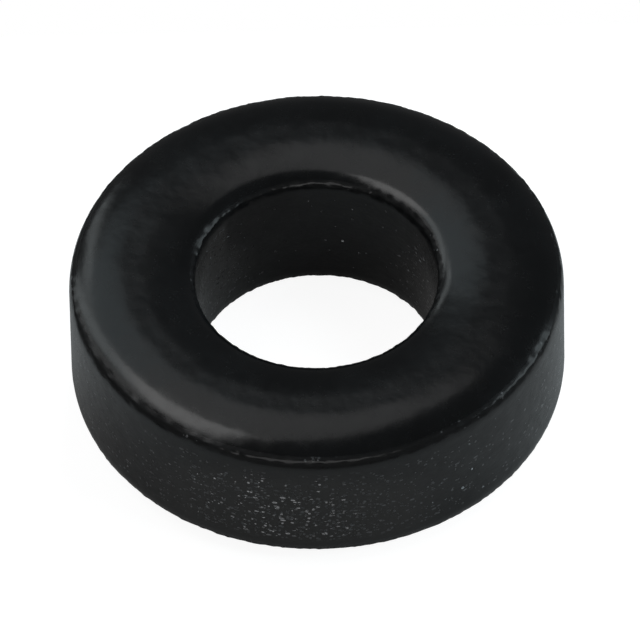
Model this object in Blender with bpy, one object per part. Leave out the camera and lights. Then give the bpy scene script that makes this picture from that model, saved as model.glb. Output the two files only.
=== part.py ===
"""Ferrite toroid core: one ring of ferrite powder, pressed in a die and sintered.

The die and its core rod leave two straight walls. Each punch leaves a face with a narrow flat land in its
middle, a shallow crown on both sides of the land and a tighter roll beyond, down to a ridge. Tumbling has
worn the wall back a little beside each ridge. The upper and lower faces are alike.

The core rests on its lower land. The origin is the middle of that land's circle and +Z is the bore's axis.
"""

import math

import bmesh
import bpy

MM = 0.001

# The ring
OUTER_DIAMETER = 9.53 * MM
BORE_DIAMETER = 4.65 * MM
HEIGHT = 3.18 * MM

# The flat land in the middle of each punch face
LAND_WIDTH = 0.30 * MM

# The punch face at the outer wall: its fall from the land to the ridge, and the roll's own share of it
OUTER_FALL = 0.315 * MM
OUTER_ROLL_WIDTH = 0.40 * MM
OUTER_ROLL_FALL = 0.225 * MM

# The same at the bore, where the punch is rounded more tightly
BORE_FALL = 0.26 * MM
BORE_ROLL_WIDTH = 0.27 * MM
BORE_ROLL_FALL = 0.167 * MM

# How far tumbling has worn each wall back at the ridge, and over what height
OUTER_WEAR_DEPTH = 0.052 * MM
OUTER_WEAR_HEIGHT = 0.28 * MM
BORE_WEAR_DEPTH = 0.030 * MM
BORE_WEAR_HEIGHT = 0.20 * MM

# The softening of the ridges themselves, which are the only edges of the ring that turn by more than this angle
RIDGE_SOFTENING = 0.030 * MM
RIDGE_ANGLE = math.radians(18)

# Facets of the curves in the section, of the softened ridge and of the whole ring
CROWN_STEPS = 3
ROLL_STEPS = 4
WEAR_STEPS = 2
RIDGE_STEPS = 2
RING_STEPS = 96

# Vertices closer than this are one vertex where the turned section closes on itself
CLOSING_DISTANCE = 0.0005 * MM

# Near-black, a little blue, half glossy, not a metal
FERRITE_COLOUR = (0.0116, 0.0123, 0.0130, 1.0)
FERRITE_ROUGHNESS = 0.38
FERRITE_METALLIC = 0.0


def arc(start, end, heading, steps):
    """Points of the arc that leaves start at the angle heading and reaches end, without start itself."""
    across, up = end[0] - start[0], end[1] - start[1]
    half_turn = math.atan2(up, across) - heading
    chord = math.hypot(across, up)
    points = []
    for step in range(1, steps + 1):
        turned = half_turn * step / steps
        reach = chord * math.sin(turned) / math.sin(half_turn)
        points.append((start[0] + reach * math.cos(heading + turned), start[1] + reach * math.sin(heading + turned)))
    return points


def far_heading(start, end, heading):
    """The angle at which that arc arrives at end, or, from an arriving angle, the one at which it left."""
    return 2 * math.atan2(end[1] - start[1], end[0] - start[0]) - heading


def face_edge(wall_distance, fall, roll_width, roll_fall, wear_depth, wear_height):
    """One side of a punch face, from the land's rim to the straight wall.

    Distances run from the middle of the land toward the wall, heights from mid-height upward.
    """
    top = HEIGHT / 2
    land_rim = (LAND_WIDTH / 2, top)
    ridge = (wall_distance - wear_depth, top - fall)
    roll_start = (ridge[0] - roll_width, ridge[1] + roll_fall)
    wall_top = (wall_distance, ridge[1] - wear_height)

    roll_heading = far_heading(land_rim, roll_start, 0.0)
    wear_heading = far_heading(ridge, wall_top, -math.pi / 2)
    return (
        [land_rim]
        + arc(land_rim, roll_start, 0.0, CROWN_STEPS)
        + arc(roll_start, ridge, roll_heading, ROLL_STEPS)
        + arc(ridge, wall_top, wear_heading, WEAR_STEPS)
    )


def section():
    """The ring's closed section as (radius, height), down the outer side and up the bore."""
    outer_wall = OUTER_DIAMETER / 2
    bore_wall = BORE_DIAMETER / 2
    land_radius = (outer_wall - OUTER_WEAR_DEPTH + bore_wall + BORE_WEAR_DEPTH) / 2
    middle = HEIGHT / 2

    outer_edge = face_edge(
        outer_wall - land_radius, OUTER_FALL, OUTER_ROLL_WIDTH, OUTER_ROLL_FALL, OUTER_WEAR_DEPTH, OUTER_WEAR_HEIGHT
    )
    bore_edge = face_edge(
        land_radius - bore_wall, BORE_FALL, BORE_ROLL_WIDTH, BORE_ROLL_FALL, BORE_WEAR_DEPTH, BORE_WEAR_HEIGHT
    )
    outer_upper = [(land_radius + distance, middle + height) for distance, height in outer_edge]
    outer_lower = [(land_radius + distance, middle - height) for distance, height in reversed(outer_edge)]
    bore_lower = [(land_radius - distance, middle - height) for distance, height in bore_edge]
    bore_upper = [(land_radius - distance, middle + height) for distance, height in reversed(bore_edge)]
    return outer_upper + outer_lower + bore_lower + bore_upper


def ferrite():
    """The one material, bare sintered ferrite."""
    material = bpy.data.materials.new("sintered_ferrite")
    material.use_nodes = True
    shader = material.node_tree.nodes["Principled BSDF"]
    shader.inputs["Base Color"].default_value = FERRITE_COLOUR
    shader.inputs["Roughness"].default_value = FERRITE_ROUGHNESS
    shader.inputs["Metallic"].default_value = FERRITE_METALLIC
    return material


def toroid_core():
    """The core: its section drawn in the XZ plane, turned about Z, with the four ridges softened."""
    profile = bmesh.new()
    corners = [profile.verts.new((radius, 0.0, height)) for radius, height in section()]
    for corner, following in zip(corners, corners[1:] + corners[:1]):
        profile.edges.new((corner, following))
    mesh = bpy.data.meshes.new("toroid_core")
    profile.to_mesh(mesh)
    profile.free()
    mesh.materials.append(ferrite())

    core = bpy.data.objects.new("toroid_core", mesh)
    bpy.context.collection.objects.link(core)

    turning = core.modifiers.new("turn the section", "SCREW")
    turning.axis = "Z"
    turning.angle = 2 * math.pi
    turning.steps = RING_STEPS
    turning.render_steps = RING_STEPS
    turning.use_merge_vertices = True
    turning.merge_threshold = CLOSING_DISTANCE
    turning.use_smooth_shade = True

    softening = core.modifiers.new("soften the ridges", "BEVEL")
    softening.width = RIDGE_SOFTENING
    softening.segments = RIDGE_STEPS
    softening.limit_method = "ANGLE"
    softening.angle_limit = RIDGE_ANGLE
    return core


def main():
    for old in list(bpy.data.objects):
        bpy.data.objects.remove(old, do_unlink=True)
    toroid_core()


main()
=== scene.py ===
"""A bare ferrite toroid core on a pale table, laid out as a Blender add-on and run as a script.

The core is one ring of nickel-zinc ferrite powder, die-pressed and sintered. Its section is drawn and turned
here again, far finer than the solid that it stands for, and its skin gets the relief that the press, the
sintering and the tumbling leave.
"""
import math
from functools import partial

import bpy
import numpy as np
from bpy.props import FloatProperty, FloatVectorProperty, IntProperty, PointerProperty
from mathutils import Matrix, Vector


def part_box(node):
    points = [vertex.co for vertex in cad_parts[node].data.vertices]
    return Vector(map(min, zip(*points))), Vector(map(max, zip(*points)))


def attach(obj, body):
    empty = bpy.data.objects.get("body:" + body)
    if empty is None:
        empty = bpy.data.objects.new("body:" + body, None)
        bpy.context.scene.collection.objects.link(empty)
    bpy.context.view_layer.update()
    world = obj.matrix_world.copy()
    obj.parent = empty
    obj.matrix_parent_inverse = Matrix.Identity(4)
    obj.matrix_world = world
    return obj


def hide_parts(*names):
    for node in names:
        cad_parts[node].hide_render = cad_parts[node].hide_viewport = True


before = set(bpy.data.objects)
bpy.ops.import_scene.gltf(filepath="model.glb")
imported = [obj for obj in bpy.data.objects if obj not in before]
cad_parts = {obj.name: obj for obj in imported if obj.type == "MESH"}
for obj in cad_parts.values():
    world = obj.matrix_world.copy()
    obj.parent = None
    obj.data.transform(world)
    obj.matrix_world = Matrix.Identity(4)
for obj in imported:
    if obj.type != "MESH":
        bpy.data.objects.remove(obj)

bl_info = {
    "name": "Ferrite toroid core",
    "version": (1, 0, 0),
    "blender": (4, 5, 0),
    "location": "View3D > Sidebar > Toroid core",
    "description": "Models and finishes a bare pressed ferrite ring core, and lights it on a pale table",
    "category": "Object",
}

MM = 0.001
NODE = "toroid_core"
CAD_LOW, CAD_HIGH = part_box(NODE)
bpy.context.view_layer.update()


def linear(colour):
    """Linear red, green and blue of an sRGB colour written as #rrggbb."""
    shares = [int(colour[place:place + 2], 16) / 255 for place in (1, 3, 5)]
    return tuple(share / 12.92 if share <= 0.04045 else ((share + 0.055) / 1.055) ** 2.4 for share in shares)


def length(name, description, default):
    """A property for a length in metres."""
    return FloatProperty(
        name=name, description=description, default=default, min=0.0, unit="LENGTH", precision=6
    )


def colour(name, description, default):
    """A property for a colour, given as sRGB."""
    return FloatVectorProperty(
        name=name, description=description, default=linear(default), subtype="COLOR", size=3, min=0.0, max=1.0
    )


class CoreSizes(bpy.types.PropertyGroup):
    """Sizes of the ring's section and of its surface relief."""

    outer_diameter: length("Outer diameter", "Across the straight outer wall", CAD_HIGH.x - CAD_LOW.x)
    bore_diameter: length("Bore diameter", "Across the straight bore wall", 4.65 * MM)
    height: length("Height", "Over both lands", CAD_HIGH.z - CAD_LOW.z)
    land_width: length("Land width", "Flat ring in the middle of each punch face", 0.30 * MM)
    outer_fall: length("Outer fall", "From the land down to the outer ridge", 0.315 * MM)
    outer_roll_width: length("Outer roll width", "Tighter curve beside the outer ridge", 0.40 * MM)
    outer_roll_fall: length("Outer roll fall", "The part of the outer fall that the roll makes", 0.225 * MM)
    bore_fall: length("Bore fall", "From the land down to the bore's ridge", 0.26 * MM)
    bore_roll_width: length("Bore roll width", "Tighter curve beside the bore's ridge", 0.27 * MM)
    bore_roll_fall: length("Bore roll fall", "The part of the bore's fall that the roll makes", 0.167 * MM)
    outer_wear_depth: length("Outer wear depth", "How far the outer ridge is worn back", 0.052 * MM)
    outer_wear_height: length("Outer wear height", "Height of the worn band of the outer wall", 0.28 * MM)
    bore_wear_depth: length("Bore wear depth", "How far the bore's ridge is worn back", 0.030 * MM)
    bore_wear_height: length("Bore wear height", "Height of the worn band of the bore wall", 0.20 * MM)
    ridge_softening: length("Ridge softening", "Width of the bevel on each ridge", 0.030 * MM)
    crown_swell: length("Crown swell", "Depth of the broad unevenness of the pressed faces", 0.010 * MM)
    crown_swell_size: length("Crown swell size", "Size of that unevenness", 1.1 * MM)
    crown_relief: length("Crown relief", "Depth of the fine unevenness of the pressed faces", 0.004 * MM)
    crown_grain: length("Crown grain", "Size of that fine unevenness", 0.30 * MM)
    wall_relief: length("Wall relief", "Depth of the drag marks on the walls", 0.006 * MM)
    wall_grain: length("Wall grain", "Size of those marks", 0.14 * MM)
    chip_depth: length("Chip depth", "Depth of the chips in the ridges", 0.010 * MM)
    chip_size: length("Chip size", "Size of the chips in the ridges", 0.13 * MM)
    mesh_step: length("Mesh step", "Distance between points along the section", 0.058 * MM)
    sector_steps: IntProperty(
        name="Sector steps", description="Points round the first sector", default=16, min=4
    )
    ring_doublings: IntProperty(
        name="Ring doublings", description="How often the sector is doubled to close the ring",
        default=5, min=2,
    )


class CoreColours(bpy.types.PropertyGroup):
    """Colours of the ferrite and of the table."""

    ferrite: colour("Ferrite", "Body colour of the sintered ferrite", "#0c0d0e")
    # Also the colour of painted light: the front patch of the outer wall partly, the bore's upright patch
    # wholly
    open_skin_and_light: colour("Open skin", "Colour of the walls where the die has dragged them most", "#292827")
    crystal: colour("Crystal", "Colour of an open crystal face", "#6f7072")
    table: colour("Table", "Colour of the table that the core rests on", "#828282")


# Share of a mesh step, or of a bevel, within which two places are one point
SAME_POINT = 0.01
RIDGE_SEGMENTS = 3


def arc_turn(start, end, heading):
    """How far the arc turns that leaves start at the angle heading and reaches end."""
    half = math.atan2(end[1] - start[1], end[0] - start[0]) - heading
    return 2 * ((half + math.pi) % (2 * math.pi) - math.pi)


class SectionPen:
    """Draws the section in the XZ plane in edit mode, by extruding and spinning one vertex."""

    def __init__(self, place, heading, step):
        self.place = place
        self.heading = heading
        self.step = step

    def line(self, to):
        """A straight stretch, extruded in equal steps."""
        across, up = to[0] - self.place[0], to[1] - self.place[1]
        steps = max(1, round(math.hypot(across, up) / self.step))
        for _ in range(steps):
            bpy.ops.mesh.extrude_region_move(
                TRANSFORM_OT_translate={"value": (across / steps, 0.0, up / steps)}
            )
        self.place = to
        self.heading = math.atan2(up, across)

    def arc(self, to, heading=None):
        """An arc that leaves at the pen's heading, or at the one given, and ends at to."""
        if heading is not None:
            self.heading = heading
        turn = arc_turn(self.place, to, self.heading)
        chord = math.dist(self.place, to)
        radius = chord / (2 * math.sin(turn / 2))
        centre = (
            self.place[0] - radius * math.sin(self.heading),
            self.place[1] + radius * math.cos(self.heading),
        )
        steps = max(2, round(abs(radius * turn) / self.step))
        bpy.ops.mesh.spin(steps=steps, angle=turn, center=(centre[0], 0.0, centre[1]), axis=(0.0, 1.0, 0.0))
        self.place = to
        self.heading += turn


def edge_points(sizes, side):
    """Where half of the upper face meets its wall, the outer one for side 1 and the bore's for side -1.

    The points are the land's rim, the roll's start, the ridge, the straight wall's top and its middle.
    """
    outer_wall, bore_wall = sizes.outer_diameter / 2, sizes.bore_diameter / 2
    if side > 0:
        wall, wear, worn = outer_wall, sizes.outer_wear_depth, sizes.outer_wear_height
        fall, width, roll = sizes.outer_fall, sizes.outer_roll_width, sizes.outer_roll_fall
    else:
        wall, wear, worn = bore_wall, sizes.bore_wear_depth, sizes.bore_wear_height
        fall, width, roll = sizes.bore_fall, sizes.bore_roll_width, sizes.bore_roll_fall
    land = (outer_wall - sizes.outer_wear_depth + bore_wall + sizes.bore_wear_depth) / 2
    ridge = (wall - side * wear, sizes.height - fall)
    return {
        "land rim": (land + side * sizes.land_width / 2, sizes.height),
        "roll start": (ridge[0] - side * width, ridge[1] + roll),
        "ridge": ridge,
        "wall top": (wall, ridge[1] - worn),
        "wall middle": (wall, sizes.height / 2),
    }


def select_none_of_the_scene():
    """Leaves edit mode and deselects everything, so that the next step meets only what it makes."""
    if bpy.context.mode != "OBJECT":
        bpy.ops.object.mode_set(mode="OBJECT")
    bpy.ops.object.select_all(action="DESELECT")


def select_points(ring, places, reach):
    """In edit mode, selects only the section's vertices within reach of those places in the XZ plane."""
    bpy.ops.object.mode_set(mode="OBJECT")
    for vertex in ring.data.vertices:
        vertex.select = any(math.dist((vertex.co.x, vertex.co.z), place) < reach for place in places)
    bpy.ops.object.mode_set(mode="EDIT")


def draw_half_section(sizes):
    """Draws the section above mid-height, from the outer wall over the face and down the bore."""
    outer, bore = edge_points(sizes, 1), edge_points(sizes, -1)
    start = outer["wall middle"]
    bpy.ops.transform.translate(value=(start[0], 0.0, start[1]))
    pen = SectionPen(start, math.pi / 2, sizes.mesh_step)

    # The pen meets the outer roll at its ridge, so that arc starts at the heading it would arrive with
    # if it were drawn from the land's rim, turned round
    pen.line(outer["wall top"])
    pen.arc(outer["ridge"])
    crown_turn = arc_turn(outer["land rim"], outer["roll start"], 0.0)
    roll_turn = arc_turn(outer["roll start"], outer["ridge"], crown_turn)
    pen.arc(outer["roll start"], math.pi + crown_turn + roll_turn)
    pen.arc(outer["land rim"])

    # The bore's worn band ends upright, where the straight wall begins
    pen.line(bore["land rim"])
    pen.arc(bore["roll start"])
    pen.arc(bore["ridge"])
    across, up = (bore["wall top"][axis] - bore["ridge"][axis] for axis in (0, 1))
    pen.arc(bore["wall top"], 2 * math.atan2(up, across) + math.pi / 2)
    pen.line(bore["wall middle"])
    return [outer["ridge"], bore["ridge"]]


def model_ring(sizes):
    """The ring as a fine mesh: half a section with bevelled ridges, mirrored down and turned about Z."""
    select_none_of_the_scene()
    bpy.ops.mesh.primitive_plane_add(size=sizes.land_width, location=(0.0, 0.0, 0.0))
    ring = bpy.context.object
    ring.name = ring.data.name = "pressed_ring"

    bpy.ops.object.mode_set(mode="EDIT")
    bpy.ops.mesh.select_mode(type="VERT")
    bpy.ops.mesh.select_all(action="SELECT")
    bpy.ops.mesh.merge(type="CENTER")
    ridges = draw_half_section(sizes)
    select_points(ring, ridges, sizes.ridge_softening * SAME_POINT)
    bpy.ops.mesh.bevel(offset=sizes.ridge_softening, segments=RIDGE_SEGMENTS, affect="VERTICES")

    bpy.ops.mesh.select_all(action="SELECT")
    bpy.ops.mesh.duplicate()
    bpy.ops.transform.resize(value=(1.0, 1.0, -1.0), center_override=(0.0, 0.0, sizes.height / 2))
    bpy.ops.mesh.select_all(action="SELECT")
    bpy.ops.mesh.remove_doubles(threshold=sizes.mesh_step * SAME_POINT)

    # One sector is spun, and then doubled until it closes the ring
    turn = 2 * math.pi / 2 ** sizes.ring_doublings
    bpy.ops.mesh.spin(steps=sizes.sector_steps, angle=turn, center=(0.0, 0.0, 0.0), axis=(0.0, 0.0, 1.0))
    for _ in range(sizes.ring_doublings):
        bpy.ops.mesh.select_all(action="SELECT")
        bpy.ops.mesh.duplicate()
        bpy.ops.transform.rotate(value=turn, orient_axis="Z", center_override=(0.0, 0.0, 0.0))
        turn *= 2
    bpy.ops.mesh.select_all(action="SELECT")
    bpy.ops.mesh.remove_doubles(threshold=sizes.mesh_step * SAME_POINT)
    bpy.ops.mesh.normals_make_consistent(inside=False)
    bpy.ops.object.mode_set(mode="OBJECT")
    bpy.ops.object.shade_smooth()
    if len(ring.data.vertices) - len(ring.data.edges) + len(ring.data.polygons) != 0:
        raise RuntimeError("The ring's mesh is not closed")
    return ring


def ramp(value, low, high):
    """How far value has come from low to high, 0 to 1, eased at both ends."""
    share = np.clip((value - low) / (high - low), 0.0, 1.0)
    return share * share * (3 - 2 * share)


# How far from a ridge the face's relief is full, and where the ridge's own begins and ends to fade
FACE_FULL = 0.12 * MM
RIDGE_FULL = 0.03 * MM
RIDGE_END = 0.11 * MM

# How far below the worn band the wall's marks are full and its smoothness ends
WALL_FULL = 0.10 * MM
WORN_END = 0.20 * MM

# A point this far from a ridge toward the land is no longer on the wall, and one this little above the ridge
# still is
PAST_RIDGE = 0.02 * MM
LEVEL_SLACK = 0.001 * MM

# The die has dragged the outer wall in three patches, mostly in its lower part. The greyer tone of the one at
# the front is partly painted light, for the front lamp's light on that wall. Given are the middle of that one,
# the weights between and above them, how sharply they end, and the shares of the height over which they fade
DRAGGED_PATCHES = 3
DRAG_AND_LIGHT_HEADING = math.radians(264)
DRAG_BETWEEN = 0.10
DRAG_ABOVE = 0.35
DRAG_SHARPNESS = 1.5
DRAG_FADES = (0.45, 0.85)

# The core rod has dragged the bore less. The one patch from top to bottom is painted light, a lighter band for
# the light that falls on the bore's wall: its middle, its weight, and the cosines of the angles from its middle
# at which it ends and is full
BORE_DRAG_LESS = 0.45
BORE_LIT_PATCH_HEADING = math.radians(158)
BORE_LIT_PATCH_SHARE = 0.60
BORE_LIT_PATCH_EDGE = (0.91, 0.96)

# Which zones the relief and the finish use, and in how many steps the relief's weights are written
RELIEF_ZONES = ("wall", "face", "ridge")
FINISH_ZONES = ("wall", "ridge", "worn", "drag")
WEIGHT_STEPS = 50


def drag_and_light_weights(places, radius, land, height):
    """How strongly the die has dragged the wall at each place, with painted light in it: the front patch stands
    partly, and the bore's patch wholly, for light on the wall.
    """
    azimuth = np.arctan2(places[:, 1], places[:, 0])
    patches = 0.5 + 0.5 * np.cos(DRAGGED_PATCHES * (azimuth - DRAG_AND_LIGHT_HEADING))
    low = 1 - ramp(places[:, 2], *(share * height for share in DRAG_FADES))
    outer = DRAG_BETWEEN + (1 - DRAG_BETWEEN) * patches ** DRAG_SHARPNESS
    outer *= DRAG_ABOVE + (1 - DRAG_ABOVE) * low
    # The bore's patch is painted light: a lighter upright band where light falls on the bore's wall
    bore_lit_patch = BORE_LIT_PATCH_SHARE * ramp(np.cos(azimuth - BORE_LIT_PATCH_HEADING), *BORE_LIT_PATCH_EDGE)
    return np.where(radius < land, np.maximum(outer - BORE_DRAG_LESS, bore_lit_patch), outer)


def mark_zones(ring, sizes):
    """Weights of the walls, the punch faces, the ridges, the worn bands and the dragged patches, with their
    painted light.

    They are vertex groups for the relief and attributes for the finish.
    """
    places = np.empty(3 * len(ring.data.vertices))
    ring.data.vertices.foreach_get("co", places)
    places = places.reshape(-1, 3)
    radius = np.hypot(places[:, 0], places[:, 1])
    level = np.abs(places[:, 2] - sizes.height / 2)
    land = sum(edge_points(sizes, side)["land rim"][0] for side in (1, -1)) / 2
    zones = {name: np.zeros(len(places)) for name in ("wall", "face", "ridge", "worn")}
    for side in (1, -1):
        edge = edge_points(sizes, side)
        here = (radius > land) == (side > 0)
        ridge = edge["ridge"]
        ridge_level, top_level = (edge[name][1] - sizes.height / 2 for name in ("ridge", "wall top"))
        distance = np.hypot(radius - ridge[0], level - ridge_level)
        below = level < ridge_level + LEVEL_SLACK
        past = side * (radius - ridge[0]) < -PAST_RIDGE
        weights = {
            "wall": np.where(past, 0.0, 1 - ramp(level, top_level - WALL_FULL, ridge_level)),
            "face": np.where(below, 0.0, ramp(distance, 0.0, FACE_FULL)),
            "ridge": 1 - ramp(distance, RIDGE_FULL, RIDGE_END),
            "worn": np.where(below, ramp(level, top_level - WORN_END, top_level), 0.0),
        }
        for name, weight in weights.items():
            zones[name] = np.where(here, weight, zones[name])
    # The drag weights carry painted light as well as the die's drag: the front patch partly, the bore's patch
    # wholly
    zones["drag"] = drag_and_light_weights(places, radius, land, sizes.height)

    for name in FINISH_ZONES:
        attribute = ring.data.attributes.new(name, "FLOAT", "POINT")
        attribute.data.foreach_set("value", zones[name].astype(np.float32))
    for name in RELIEF_ZONES:
        group = ring.vertex_groups.new(name="on_" + name)
        steps = np.round(zones[name] * WEIGHT_STEPS).astype(int)
        for step in np.unique(steps[steps > 0]):
            group.add(np.flatnonzero(steps == step).tolist(), step / WEIGHT_STEPS, "REPLACE")


def press_in(ring, name, zone, depth, size, detail, contrast=1.0):
    """Displaces the ring inward within a zone, by up to depth, with clouds of that size."""
    texture = bpy.data.textures.new(name, "CLOUDS")
    texture.noise_scale = size
    texture.noise_depth = detail
    texture.contrast = contrast
    bpy.ops.object.modifier_add(type="DISPLACE")
    modifier = ring.modifiers[-1]
    modifier.name = name
    modifier.texture = texture
    modifier.texture_coords = "LOCAL"
    modifier.direction = "NORMAL"
    modifier.vertex_group = "on_" + zone
    modifier.strength = depth
    modifier.mid_level = 1.0
    bpy.ops.object.modifier_apply(modifier=modifier.name)


def rough_up(ring, sizes):
    """The unevenness of the pressed faces, the drag marks on the walls and the chips in the ridges."""
    press_in(ring, "face_swell", "face", sizes.crown_swell, sizes.crown_swell_size, detail=0)
    press_in(ring, "face_grain", "face", sizes.crown_relief, sizes.crown_grain, detail=1)
    press_in(ring, "wall_marks", "wall", sizes.wall_relief, sizes.wall_grain, detail=1)
    press_in(ring, "ridge_chips", "ridge", sizes.chip_depth, sizes.chip_size, detail=1, contrast=3.0)


def add_node(tree, kind, links=None, output=0, **settings):
    """Adds a node with its settings, and its sockets' values or links, and returns one of its outputs.

    links names or numbers the input sockets. With None for output it returns the node itself.
    """
    node = tree.nodes.new(kind)
    for name, value in settings.items():
        setattr(node, name, value)
    for socket, value in (links or {}).items():
        if isinstance(value, bpy.types.NodeSocket):
            tree.links.new(value, node.inputs[socket])
        else:
            node.inputs[socket].default_value = value
    return node if output is None else node.outputs[output]


def new_material(name):
    """A material without any nodes."""
    material = bpy.data.materials.new(name)
    material.use_nodes = True
    material.node_tree.nodes.clear()
    return material


# Real crystals of sintered ferrite are 0.01 to 0.05 mm across, which is too fine to show, so those that glint
# are drawn this coarse. The wide ones stand for clusters that the die has drawn out sideways
ROUND_CRYSTAL = 0.065 * MM
WIDE_CRYSTAL = 0.12 * MM
WIDE_CRYSTAL_FLATNESS = 2.2

# A crystal's radius as a share of its cell, at the least and on top of it by chance
CRYSTAL_RADIUS = 0.12
CRYSTAL_RADIUS_CHANCE = 0.40

# Twice the greatest lean of a crystal's face along X, Y and Z
CRYSTAL_LEAN = (0.6, 0.6, 1.8)

# The share of cells without a crystal, how much the drag lowers it, and how much rarer wide crystals are
CRYSTAL_RARITY = 0.945
CRYSTAL_RARITY_DRAG = -0.61
WIDE_CRYSTAL_RARER = 0.06


def crystals(add, place, size, flatness, rarity):
    """Open crystals of that size, flatness times wider than high; where they lie, and how each one leans.

    Only crystals whose own chance is over rarity are open. Each tips up or down more than sideways.
    """
    place = add("ShaderNodeVectorMath", {0: place, 1: (1.0, 1.0, flatness)}, operation="MULTIPLY")
    cells = add("ShaderNodeTexVoronoi", {"Vector": place, "Scale": 1 / size}, output=None).outputs
    chance = add("ShaderNodeSeparateColor", {0: cells["Color"]}, output=None).outputs
    radius = add("ShaderNodeMath", {
        0: chance[1], 1: CRYSTAL_RADIUS_CHANCE, 2: CRYSTAL_RADIUS,
    }, operation="MULTIPLY_ADD")
    inside = add("ShaderNodeMath", {0: cells["Distance"], 1: radius}, operation="LESS_THAN")
    open_cell = add("ShaderNodeMath", {0: chance[0], 1: rarity}, operation="GREATER_THAN")
    shown = add("ShaderNodeMath", {0: open_cell, 1: inside}, operation="MULTIPLY")
    lean = add("ShaderNodeVectorMath", {0: cells["Color"], 1: (0.5, 0.5, 0.5)}, operation="SUBTRACT")
    lean = add("ShaderNodeVectorMath", {0: lean, 1: CRYSTAL_LEAN}, operation="MULTIPLY")
    return shown, add("ShaderNodeVectorMath", {0: lean, "Scale": shown}, operation="SCALE")


# The fired skin's patterns, each with its size and its detail. All but the grain are as large as the photograph
# shows them. The real grain, of 0.02 mm, is too fine to show, so it is drawn coarser
SKIN_PATTERNS = {
    "clouds": (1.4 * MM, 3.0),
    "mottle": (0.30 * MM, 3.0),
    "grain": (0.05 * MM, 2.0),
    "chipped stretches": (1.3 * MM, 1.0),
    "ridge wear": (0.25 * MM, 2.0),
}

# The drag marks are drawn out sideways by this, and are this size and this deep
DRAG_MARK_FLATNESS = 1.8
DRAG_MARK_SIZE = 0.15 * MM
DRAG_MARK_DETAIL = 3.0
DRAG_MARK_DEPTH = 0.012 * MM

# Shares of that depth everywhere, more on the open wall, and more on a ridge by how far it is dragged
RELIEF_EVERYWHERE = 0.40
RELIEF_OPEN_WALL = 0.45
RELIEF_DRAGGED_RIDGE = 2.5

DARKER_BODY = 0.7
RIDGE_ROUGHNESS_DRAG = 0.8

# A fired ceramic's usual index, with its specular level lowered until the faces are as dark as the real ones,
# under a clear coat for the gloss of the fired skin
FERRITE_IOR = 1.5
FERRITE_SPECULAR = 0.25
SKIN_ROUGHNESS = 0.20
SKIN_IOR = 1.4


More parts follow.
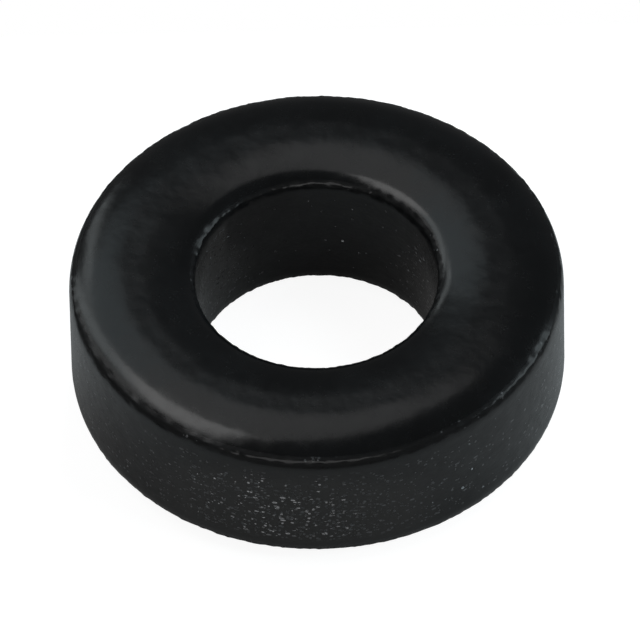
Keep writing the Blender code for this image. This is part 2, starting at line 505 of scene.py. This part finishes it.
def sintered_ferrite(colours):
    """Nickel-zinc ferrite, die-pressed and sintered, then tumbled.

    Sintering leaves a near-black ceramic with a tight, slightly glossy fired skin. The punches leave the
    faces smooth and softly uneven; the die drags the walls, which turn matt and a little greyer there and open
    crystal faces that glint; tumbling smooths the band beside each ridge. The greyer tone is also painted
    light: the front patch of the outer wall stands partly, and the upright patch in the bore wholly, for light
    on the wall.
    """
    material = new_material("sintered_ferrite")
    add = partial(add_node, material.node_tree)
    place = add("ShaderNodeTexCoord", output="Object")
    zone = {name: add("ShaderNodeAttribute", attribute_name=name, output="Fac") for name in FINISH_ZONES}
    pattern = {
        name: add("ShaderNodeTexNoise", {"Vector": place, "Scale": 1 / size, "Detail": detail}, output="Fac")
        for name, (size, detail) in SKIN_PATTERNS.items()
    }
    # What each pattern becomes between two of its values, eased at both ends
    eased = {
        name: add("ShaderNodeMapRange", {
            "Value": value, "From Min": low, "From Max": high, "To Min": start, "To Max": end,
        }, interpolation_type="SMOOTHSTEP")
        for name, value, low, high, start, end in (
            ("body", pattern["clouds"], 0.35, 0.65, 0.0, 1.0),
            ("chipped", pattern["chipped stretches"], 0.50, 0.62, 0.0, 1.0),
            ("dragged", zone["drag"], 0.12, 0.60, 0.0, 1.0),
            ("face roughness", pattern["mottle"], 0.3, 0.7, 0.16, 0.29),
            ("wall roughness", pattern["mottle"], 0.3, 0.7, 0.45, 0.60),
            ("ridge roughness", pattern["ridge wear"], 0.35, 0.65, 0.65, 0.40),
            ("crystal roughness", pattern["grain"], 0.35, 0.65, 0.18, 0.40),
        )
    }

    # Crystals lie open on the unworn walls and where the ridges have chipped
    unworn = add("ShaderNodeMath", {0: 1.0, 1: zone["worn"]}, operation="SUBTRACT")
    open_wall = add("ShaderNodeMath", {0: zone["wall"], 1: unworn}, operation="MULTIPLY")
    chips = add("ShaderNodeMath", {0: zone["ridge"], 1: eased["chipped"]}, operation="MULTIPLY")
    rough_zone = add("ShaderNodeMath", {0: open_wall, 1: chips}, operation="MAXIMUM")
    rarity = add("ShaderNodeMath", {
        0: zone["drag"], 1: CRYSTAL_RARITY_DRAG, 2: CRYSTAL_RARITY,
    }, operation="MULTIPLY_ADD")
    wide_rarity = add("ShaderNodeMath", {0: rarity, 1: WIDE_CRYSTAL_RARER}, operation="ADD")
    round_glint, round_lean = crystals(add, place, ROUND_CRYSTAL, 1.0, rarity)
    wide_glint, wide_lean = crystals(add, place, WIDE_CRYSTAL, WIDE_CRYSTAL_FLATNESS, wide_rarity)
    glint = add("ShaderNodeMath", {0: round_glint, 1: wide_glint}, operation="MAXIMUM")
    glint = add("ShaderNodeMath", {0: glint, 1: rough_zone}, operation="MULTIPLY")

    # Near-black clouds, greyer on the dragged walls and the painted light patches, and lightest on the crystals
    dark, ferrite, open_skin_and_light, crystal = (
        (*(strength * share for share in value), 1.0)
        for strength, value in (
            (DARKER_BODY, colours.ferrite), (1.0, colours.ferrite),
            (1.0, colours.open_skin_and_light), (1.0, colours.crystal),
        )
    )
    # dragged also carries painted light: the front patch of the outer wall partly and the bore's upright patch
    # wholly
    dragged = add("ShaderNodeMath", {0: zone["wall"], 1: eased["dragged"]}, operation="MULTIPLY")
    body = dark
    for share, upper in ((eased["body"], ferrite), (dragged, open_skin_and_light), (glint, crystal)):
        body = add("ShaderNodeMix", {0: share, 6: body, 7: upper}, output=2, data_type="RGBA")

    # Smooth faces, matt walls, patchy ridges that the drag roughens, and bright crystals
    ridge_roughness = add("ShaderNodeMath", {
        0: zone["drag"], 1: RIDGE_ROUGHNESS_DRAG, 2: eased["ridge roughness"],
    }, operation="MULTIPLY_ADD")
    roughness = eased["face roughness"]
    for share, upper in (
        (zone["wall"], eased["wall roughness"]), (zone["ridge"], ridge_roughness),
        (glint, eased["crystal roughness"]),
    ):
        roughness = add("ShaderNodeMix", {0: share, 2: roughness, 3: upper})

    # Each open crystal is a small flat mirror with a lean of its own
    lean = add("ShaderNodeVectorMath", {0: round_lean, 1: wide_lean}, operation="ADD")
    lean = add("ShaderNodeVectorMath", {0: lean, "Scale": rough_zone}, operation="SCALE")
    upright = add("ShaderNodeNewGeometry", output="Normal")
    facet = add("ShaderNodeVectorMath", {0: upright, 1: lean}, operation="ADD")
    facet = add("ShaderNodeVectorMath", {0: facet}, operation="NORMALIZE")

    # Relief too fine for the mesh, drawn out sideways
    flat_place = add("ShaderNodeVectorMath", {
        0: place, 1: (1.0, 1.0, DRAG_MARK_FLATNESS),
    }, operation="MULTIPLY")
    marks = add("ShaderNodeTexNoise", {
        "Vector": flat_place, "Scale": 1 / DRAG_MARK_SIZE, "Detail": DRAG_MARK_DETAIL,
    }, output="Fac")
    depth = add("ShaderNodeMath", {
        0: open_wall, 1: RELIEF_OPEN_WALL, 2: RELIEF_EVERYWHERE,
    }, operation="MULTIPLY_ADD")
    dragged_ridge = add("ShaderNodeMath", {0: zone["ridge"], 1: zone["drag"]}, operation="MULTIPLY")
    depth = add("ShaderNodeMath", {
        0: dragged_ridge, 1: RELIEF_DRAGGED_RIDGE, 2: depth,
    }, operation="MULTIPLY_ADD")
    height = add("ShaderNodeMath", {0: marks, 1: depth}, operation="MULTIPLY")
    bumps = add("ShaderNodeBump", {
        "Strength": 1.0, "Distance": DRAG_MARK_DEPTH, "Height": height, "Normal": facet,
    })

    shader = add("ShaderNodeBsdfPrincipled", {
        "Base Color": body, "Roughness": roughness, "Metallic": glint, "Normal": bumps,
        "IOR": FERRITE_IOR, "Specular IOR Level": FERRITE_SPECULAR,
        "Coat Weight": 1.0, "Coat Roughness": SKIN_ROUGHNESS, "Coat IOR": SKIN_IOR,
    })
    add("ShaderNodeOutputMaterial", {"Surface": shader}, output=None)
    return material


class RingOperator(bpy.types.Operator):
    """Model the pressed ring and give it its sintered finish"""

    bl_idname = "toroid_core.ring"
    bl_label = "Pressed ring"

    def execute(self, context):
        sizes, colours = context.scene.core_sizes, context.scene.core_colours
        ring = model_ring(sizes)
        mark_zones(ring, sizes)
        rough_up(ring, sizes)
        ring.data.materials.append(sintered_ferrite(colours))
        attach(ring, "root")
        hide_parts(NODE)
        return {"FINISHED"}


# The photograph's camera: a long lens, and where the ring's middle lies in the picture of 640 by 640
CAMERA_ELEVATION = math.radians(48.6)
CAMERA_ROLL = math.radians(-1.14)
CAMERA_DISTANCE = 381.2 * MM
PICTURE_SIDE = 640
PIXELS_PER_METRE = 247.11 / (4.765 * MM)
RING_PIXEL = (317.24, 321.20)
SENSOR_WIDTH = 36.0
CLIP_START, CLIP_END = 0.01, 10.0


def direction(azimuth, elevation):
    """Unit vector to a place on the sky, in degrees; azimuth 0 is +X and 90 is +Y."""
    a, e = math.radians(azimuth), math.radians(elevation)
    return Vector((math.cos(e) * math.cos(a), math.cos(e) * math.sin(a), math.sin(e)))


def area_lamp(name, size, radiance, tint):
    """A rectangular lamp of that length and width in metres, which the camera doesn't see."""
    light = bpy.data.lights.new(name, "AREA")
    light.shape = "RECTANGLE"
    light.size, light.size_y = size
    light.energy = radiance * math.pi * light.size * light.size_y
    light.color = tint
    lamp = bpy.data.objects.new(name, light)
    bpy.context.collection.objects.link(lamp)
    lamp.visible_camera = False
    return lamp


WHITE = (1.0, 1.0, 1.0)
PALE = (0.90, 0.98, 1.0)
COOL = (0.82, 0.95, 1.0)
SOFTBOX_DISTANCE = 0.25
FILL_DISTANCE = 0.6


def softbox(name, middle, end, size, radiance, tint=WHITE, glossy=True, distance=SOFTBOX_DISTANCE):
    """A lamp that faces the ring.

    Its middle is at middle on the ring's sky and its length runs toward end, both as azimuth and elevation.
    size is its length and width in degrees of that sky.
    """
    lamp = area_lamp(name, [2 * distance * math.tan(math.radians(side / 2)) for side in size], radiance, tint)
    outward = direction(*middle)
    along = direction(*end) - outward * direction(*end).dot(outward)
    along.normalize()
    lamp.rotation_mode = "QUATERNION"
    lamp.rotation_quaternion = Matrix((along, outward.cross(along), outward)).transposed().to_quaternion()
    lamp.location = outward * distance
    lamp.visible_glossy = glossy


PANEL_HEIGHT = 0.20
PANEL_HEADING = 135


def ceiling_panel(name, along, across, radiance, tint=WHITE):
    """A level lamp over the table, its length toward PANEL_HEADING.

    along and across give where it starts and ends that way and to the left of it, in panel heights.
    """
    lamp = area_lamp(name, [(end - start) * PANEL_HEIGHT for start, end in (along, across)], radiance, tint)
    ahead, left = direction(PANEL_HEADING, 0), direction(PANEL_HEADING + 90, 0)
    lamp.location = PANEL_HEIGHT * (ahead * sum(along) / 2 + left * sum(across) / 2 + Vector((0.0, 0.0, 1.0)))
    lamp.rotation_euler = (0.0, 0.0, math.radians(PANEL_HEADING))


def hang_lamps():
    """Hangs the lamps where the ring's crown, rolls and walls mirror them as light bands."""
    # The bright panels draw the crescents on the rolls
    ceiling_panel("panel_near", (0.15, 0.75), (0.09, 0.60), 2.0)
    ceiling_panel("panel_far", (0.75, 4.0), (0.07, 0.50), 1.27, PALE)
    ceiling_panel("panel_side", (0.15, 4.0), (0.60, 0.80), 0.80)
    # The dim ones draw the soft bands on the crown
    ceiling_panel("dim_panel_near", (0.07, 0.60), (-0.53, 0.05), 0.52)
    ceiling_panel("dim_panel_far", (0.60, 1.25), (-0.57, 0.05), 0.54, COOL)
    ceiling_panel("dim_panel_end", (1.25, 2.3), (-0.33, 0.02), 0.90, PALE)
    # Low lamps light the ridges and the walls, and the crystals glint in them
    softbox("strip_back_left", (121, 24), (121, 60), (26, 8), 0.80, PALE)
    softbox("panel_right", (4, 16), (94, 0), (34, 28), 1.6, COOL)
    softbox("panel_front", (266, 20), (356, 0), (52, 32), 1.08)
    # Fills that the ring doesn't mirror bring a plain colour to its own level
    for name, middle, end, size, radiance in (
        ("fill_bore", (338, 44), (68, 0), (16, 20), 6.4),
        ("fill_back", (72, 42), (162, 0), (20, 36), 8.2),
        ("fill_side", (20, 58), (110, 0), (24, 24), 4.2),
    ):
        softbox(name, middle, end, size, radiance, COOL, glossy=False, distance=FILL_DISTANCE)


# A small sheet, so that the ring's far rim mirrors the dim room beyond it
TABLE_SIDE = 18 * MM

# What the table adds to its own diffuse light, to be white to the camera, and the trace of white that the
# ring mirrors, as the photograph's ring does
TABLE_WHITE = 0.92
TABLE_MIRRORED = 0.05

# How bright the room is beyond the lamps and the table
ROOM_STRENGTH = 0.055


def matt_laminate(table_colour):
    """Matt laminate board: plain and even, it takes the ring's shadow softly and mirrors nothing."""
    material = new_material("matt_laminate")
    add = partial(add_node, material.node_tree)
    path = add("ShaderNodeLightPath", output=None).outputs
    diffuse = add("ShaderNodeBsdfDiffuse", {"Color": (*table_colour, 1.0)})
    seen = add("ShaderNodeMath", {
        0: path["Is Camera Ray"], 1: path["Is Transmission Ray"],
    }, operation="MAXIMUM")
    mirrored = add("ShaderNodeMath", {0: path["Is Glossy Ray"], 1: TABLE_MIRRORED}, operation="MULTIPLY")
    shown = add("ShaderNodeMath", {0: seen, 1: TABLE_WHITE, 2: mirrored}, operation="MULTIPLY_ADD")
    glow = add("ShaderNodeEmission", {"Color": (*WHITE, 1.0), "Strength": shown})
    both = add("ShaderNodeAddShader", {0: diffuse, 1: glow})
    add("ShaderNodeOutputMaterial", {"Surface": both}, output=None)
    return material


def lay_table(table_colour):
    """Lays the table under the ring."""
    select_none_of_the_scene()
    bpy.ops.mesh.primitive_plane_add(size=TABLE_SIDE, location=(0.0, 0.0, 0.0))
    table = bpy.context.object
    table.name = "table"
    table.data.materials.append(matt_laminate(table_colour))


def surround(scene):
    """Makes the room white to the camera and dim to everything else."""
    scene.world = bpy.data.worlds.new("studio")
    scene.world.use_nodes = True
    scene.world.node_tree.nodes.clear()
    add = partial(add_node, scene.world.node_tree)
    seen = add("ShaderNodeLightPath", output="Is Camera Ray")
    dim, white = (
        add("ShaderNodeBackground", {"Color": (*WHITE, 1.0), "Strength": strength})
        for strength in (ROOM_STRENGTH, 1.0)
    )
    either = add("ShaderNodeMixShader", {0: seen, 1: dim, 2: white})
    add("ShaderNodeOutputWorld", {"Surface": either}, output=None)


def set_up_camera(scene):
    """Puts the camera where the photograph's was, with the ring's middle on its pixel."""
    camera_data = bpy.data.cameras.new("camera")
    camera = bpy.data.objects.new("camera", camera_data)
    scene.collection.objects.link(camera)
    back = Vector((0.0, -math.cos(CAMERA_ELEVATION), math.sin(CAMERA_ELEVATION)))
    level_up = Vector((0.0, math.sin(CAMERA_ELEVATION), math.cos(CAMERA_ELEVATION)))
    level_right = Vector((1.0, 0.0, 0.0))
    right = math.cos(CAMERA_ROLL) * level_right + math.sin(CAMERA_ROLL) * level_up
    up = -math.sin(CAMERA_ROLL) * level_right + math.cos(CAMERA_ROLL) * level_up
    centre = Vector((0.0, 0.0, scene.core_sizes.height / 2))
    off_right = (PICTURE_SIDE / 2 - RING_PIXEL[0]) / PIXELS_PER_METRE
    off_up = (RING_PIXEL[1] - PICTURE_SIDE / 2) / PIXELS_PER_METRE
    camera.rotation_mode = "QUATERNION"
    camera.rotation_quaternion = Matrix((right, up, back)).transposed().to_quaternion()
    camera.location = centre + back * CAMERA_DISTANCE + right * off_right + up * off_up
    camera_data.sensor_width = SENSOR_WIDTH
    camera_data.lens = SENSOR_WIDTH * PIXELS_PER_METRE * CAMERA_DISTANCE / PICTURE_SIDE
    camera_data.clip_start, camera_data.clip_end = CLIP_START, CLIP_END
    scene.camera = camera


class StageOperator(bpy.types.Operator):
    """Lay the table, hang the lamps and set up the camera"""

    bl_idname = "toroid_core.stage"
    bl_label = "Table, lamps and camera"

    def execute(self, context):
        scene = context.scene
        lay_table(scene.core_colours.table)
        surround(scene)
        hang_lamps()
        set_up_camera(scene)
        scene.view_settings.view_transform = "Standard"
        return {"FINISHED"}


class CorePanel(bpy.types.Panel):
    """Sizes, colours and the steps of the model"""

    bl_idname = "VIEW3D_PT_toroid_core"
    bl_label = "Toroid core"
    bl_space_type = "VIEW_3D"
    bl_region_type = "UI"
    bl_category = "Toroid core"

    def draw(self, context):
        layout = self.layout
        for group in (context.scene.core_sizes, context.scene.core_colours):
            column = layout.column(align=True)
            for name in group.__annotations__:
                column.prop(group, name)
        for operator in (RingOperator, StageOperator):
            layout.operator(operator.bl_idname)


CLASSES = (CoreSizes, CoreColours, RingOperator, StageOperator, CorePanel)


def register():
    for one in CLASSES:
        bpy.utils.register_class(one)
    bpy.types.Scene.core_sizes = PointerProperty(type=CoreSizes)
    bpy.types.Scene.core_colours = PointerProperty(type=CoreColours)


def unregister():
    del bpy.types.Scene.core_colours
    del bpy.types.Scene.core_sizes
    for one in reversed(CLASSES):
        bpy.utils.unregister_class(one)


def main():
    register()
    bpy.ops.toroid_core.ring()
    bpy.ops.toroid_core.stage()


if __name__ == "__main__":
    main()
